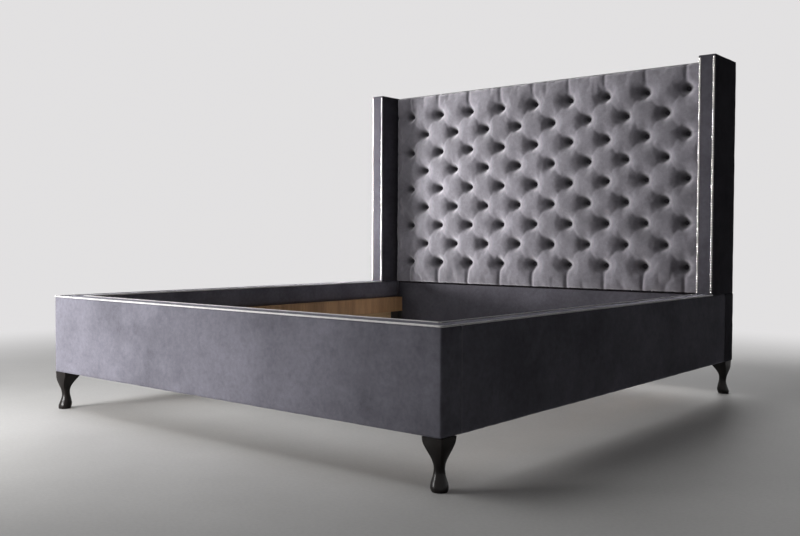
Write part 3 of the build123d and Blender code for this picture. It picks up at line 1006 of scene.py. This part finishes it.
def tufted_velvet():
    """The whole buttoned front as one padded piece, closed at its back."""
    wide = round((panel_high[0] - panel_low[0]) / panel_step)
    tall = round((panel_high[2] - panel_low[2]) / panel_step)
    xs = np.linspace(panel_low[0], panel_high[0], wide)
    zs = np.linspace(panel_low[2], panel_high[2], tall)
    x, z = np.meshgrid(xs, zs, indexing="ij")
    height, held = panel_heights(x.ravel(), z.ravel())
    front = np.stack([x.ravel(), board_front - height, z.ravel()], axis=1)
    quads = grid_quads(np.arange(x.size).reshape(x.shape))
    piece = mesh_piece("tufted_velvet_panel", front, quads, velvet_tufted)
    relax(piece, held)
    finer = piece.modifiers.new("finer", "SUBSURF")
    finer.levels = 1
    apply_modifier(piece, finer)
    close_back(piece)
    paint_pit_shade(piece)
    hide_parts("tufted_panel")


tufted_velvet()


# Buttons, and dome nails over the strips on the wing fronts
def dome(radius, height, rings, segments, skirt=0.0):
    """Points and faces of a closed dome that faces -Y, with its rim on the plane y = 0."""
    ball = (radius**2 + height**2) / (2 * height)
    widest = math.asin(min(1.0, radius / ball))
    points = [(0, -height, 0)]
    for r in range(1, rings + 1):
        angle = widest * r / rings
        reach = ball * math.sin(angle)
        y = ball - height - ball * math.cos(angle)
        for s in range(segments):
            turn = 2 * math.pi * s / segments
            points.append((reach * math.cos(turn), y, reach * math.sin(turn)))
    if skirt:
        for x, _, z in points[-segments:]:
            points.append((x * skirt_taper, skirt, z * skirt_taper))
    faces = [(0, 1 + s, 1 + (s + 1) % segments) for s in range(segments)]
    for first in range(1, len(points) - segments, segments):
        for s in range(segments):
            a = first + s
            b = first + (s + 1) % segments
            faces.append((a, a + segments, b + segments, b))
    faces.append(tuple(range(len(points) - segments, len(points)))[::-1])
    return np.array(points, float), faces


def flat_backs(piece):
    """Keeps the closing faces from bending the shading at their rims."""
    for face in piece.data.polygons:
        if len(face.vertices) > 4:
            face.use_smooth = False


def copies(shape, places, rng):
    """One mesh of many copies of a small shape, each turned at random."""
    base, base_faces = shape
    turns = rng.uniform(0, turn_range, len(places))
    points = []
    faces = []
    for i, place in enumerate(places):
        c, s = math.cos(turns[i]), math.sin(turns[i])
        turned = base @ np.array([[c, 0, s], [0, 1, 0], [-s, 0, c]]).T
        points.append(turned + np.array(place))
        faces += [tuple(i * len(base) + k for k in f) for f in base_faces]
    return np.concatenate(points), faces


def covered_button():
    """A dome with gathered velvet round its rim."""
    points, faces = dome(button_radius, button_dome, button_rings, button_sides, button_skirt)
    angle = np.arctan2(points[:, 2], points[:, 0])
    reach = np.hypot(points[:, 0], points[:, 2]) / button_radius
    points[:, 1] += gather_height * reach**gather_power * np.sin(gather_count * angle)
    return points, faces


seats = [(x, board_front - button_seat, z) for x, z in pits]
points, faces = copies(covered_button(), seats, np.random.default_rng(button_seed))
buttons = mesh_piece("velvet_buttons", points, faces, velvet_shaded_button)
flat_backs(buttons)
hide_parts("tuft_buttons")


def nail_places(node):
    """A nail over every bead of both strips on one wing."""
    low, high = corners(node)
    count = round((high[2] - low[2]) / nail_pitch)
    return [
        (x, high[1], low[2] + (i + 0.5) * nail_pitch)
        for x in (low[0] + bead_half, high[0] - bead_half)
        for i in range(count)
    ]


nail = dome(nail_radius, nail_height, nail_rings, nail_sides)
for side in ("left", "right"):
    places = nail_places(f"{side}_wing_nail_strips")
    points, faces = copies(nail, places, np.random.default_rng(nail_seed))
    points[:, 1] -= nail_seat
    nails = mesh_piece(f"{side}_wing_nails", points, faces, nickel)
    flat_backs(nails)


# Welts
def tube(node, path, seed):
    """A cord of cloth along a line of points, slightly uneven, with closed ends."""
    path = np.array(path, float)
    ways = np.gradient(path, axis=0)
    ways /= np.linalg.norm(ways, axis=1)[:, None]
    up = np.array([0.0, 0.0, 1.0])
    across = np.cross(ways, up)
    across /= np.linalg.norm(across, axis=1)[:, None]
    turn = 2 * math.pi * np.arange(welt_sides) / welt_sides
    fine = welt_fine * waves(path, welt_fine_length, seed)
    broad = welt_broad * waves(path, welt_broad_length, seed + 1)
    swell = welt_radius * (1 + fine + broad)
    ring = (
        np.cos(turn)[None, :, None] * across[:, None, :] + np.sin(turn)[None, :, None] * up
    ) * swell[:, None, None]
    points = (path[:, None, :] + ring).reshape(-1, 3)
    faces = []
    for first in range(0, len(points) - welt_sides, welt_sides):
        for s in range(welt_sides):
            a = first + s
            b = first + (s + 1) % welt_sides
            faces.append((a, b, b + welt_sides, a + welt_sides))
    faces.append(tuple(range(welt_sides))[::-1])
    faces.append(tuple(range(len(points) - welt_sides, len(points))))
    piece = mesh_piece(node + "_velvet", points, faces, velvet_welt_highlight)
    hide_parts(node)


def line(start, end):
    """Evenly spaced points between two places."""
    start = np.array(start, float)
    end = np.array(end, float)
    count = max(2, int(np.linalg.norm(end - start) / welt_step))
    return [tuple(start + (end - start) * k / count) for k in range(count + 1)]


def straight_route(node):
    """The middle of a straight cord that runs along its box's longest side."""
    low, high = corners(node)
    middle = (low + high) / 2
    axis = int(np.argmax(high - low))
    start = middle.copy()
    end = middle.copy()
    start[axis] = low[axis]
    end[axis] = high[axis]
    return line(start, end)


def round_route(node):
    """The middle of the cord round the foot end, with bent corners."""
    low, high = corners(node)
    x = high[0] - welt_radius
    y = low[1] + welt_radius
    z = (low[2] + high[2]) / 2
    turns = [math.pi / 2 * k / welt_bend_steps for k in range(1, welt_bend_steps)]
    route = line((-x, high[1], z), (-x, y + welt_bend, z))
    for turn in turns:
        c, s = math.cos(turn), math.sin(turn)
        route.append((-x + welt_bend - welt_bend * c, y + welt_bend - welt_bend * s, z))
    route += line((-x + welt_bend, y, z), (x - welt_bend, y, z))
    for turn in turns:
        c, s = math.cos(turn), math.sin(turn)
        route.append((x - welt_bend + welt_bend * s, y + welt_bend - welt_bend * c, z))
    return route + line((x, y + welt_bend, z), (x, high[1], z))


for node in (
    "left_rail_outer_welt", "right_rail_outer_welt",
    "left_rail_inner_welt", "right_rail_inner_welt", "foot_inner_welt",
):
    tube(node, straight_route(node), welt_seed)
tube("foot_outer_welt", round_route("foot_outer_welt"), outer_welt_seed)

# Floor, light and camera
bpy.ops.mesh.primitive_plane_add(size=floor_size, location=(0, 0, 0))
floor = bpy.context.object
floor.name = "floor"
floor.data.materials.append(concrete("pale_floor"))


def lamp(name, place, target, size, power, colour=(1, 1, 1), spread=180):
    """A soft rectangular lamp that looks at a place."""
    data = bpy.data.lights.new(name, "AREA")
    data.shape = "RECTANGLE"
    data.size, data.size_y = size
    data.energy = power
    data.spread = math.radians(spread)
    data.color = colour
    lamp_object = bpy.data.objects.new(name, data)
    lamp_object.visible_camera = False
    bpy.context.scene.collection.objects.link(lamp_object)
    way = np.array(target, float) - np.array(place, float)
    way /= np.linalg.norm(way)
    right = np.cross(way, (0, 0, 1))
    right /= np.linalg.norm(right)
    up = np.cross(right, way)
    turn = Matrix([[right[k], up[k], -way[k]] for k in range(3)])
    lamp_object.matrix_world = Matrix.Translation(place) @ turn.to_4x4()


lamp(
    "window_left", place=(-1.2, -2.9, 0.5), target=(-0.75, -0.6, 0.3), size=(1.0, 0.6), power=28,
    colour=daylight, spread=110,
)
lamp(
    "window_side", place=(-3.1, -0.55, 0.7), target=(-0.8, 0.97, 1.05), size=(0.8, 0.5), power=42,
    colour=daylight, spread=60,
)
lamp("soft_top", place=(-2.2, -1.6, 3.8), target=(0, -0.2, 0.3), size=(3.0, 3.0), power=85)
lamp("soft_back", place=(-1.6, 4.8, 2.4), target=(0, 1.0, 0.7), size=(3.0, 2.0), power=58)

world = bpy.data.worlds.new("studio")
bpy.context.scene.world = world
world.use_nodes = True
tree = world.node_tree
sky = tree.nodes["Background"]
sky.inputs["Color"].default_value = (*sky_colour, 1)
sky.inputs["Strength"].default_value = sky_strength
seen = tree.nodes.new("ShaderNodeBackground")
seen.inputs["Color"].default_value = (*background, 1)
mixed_shader(tree, shown_rays(tree), sky, seen, "World Output")

camera = bpy.data.objects.new("camera", bpy.data.cameras.new("camera"))
bpy.context.scene.collection.objects.link(camera)
camera.data.lens = camera_lens
camera.data.sensor_width = camera_sensor
camera.matrix_world = (
    Matrix.Translation(camera_place)
    @ Matrix.Rotation(math.radians(camera_yaw), 4, "Z")
    @ Matrix.Rotation(math.radians(90 - camera_dip), 4, "X")
    @ Matrix.Rotation(math.radians(camera_roll), 4, "Z")
)
bpy.context.scene.camera = camera
bpy.context.scene.view_settings.view_transform = "Standard"

bpy.context.view_layer.update()
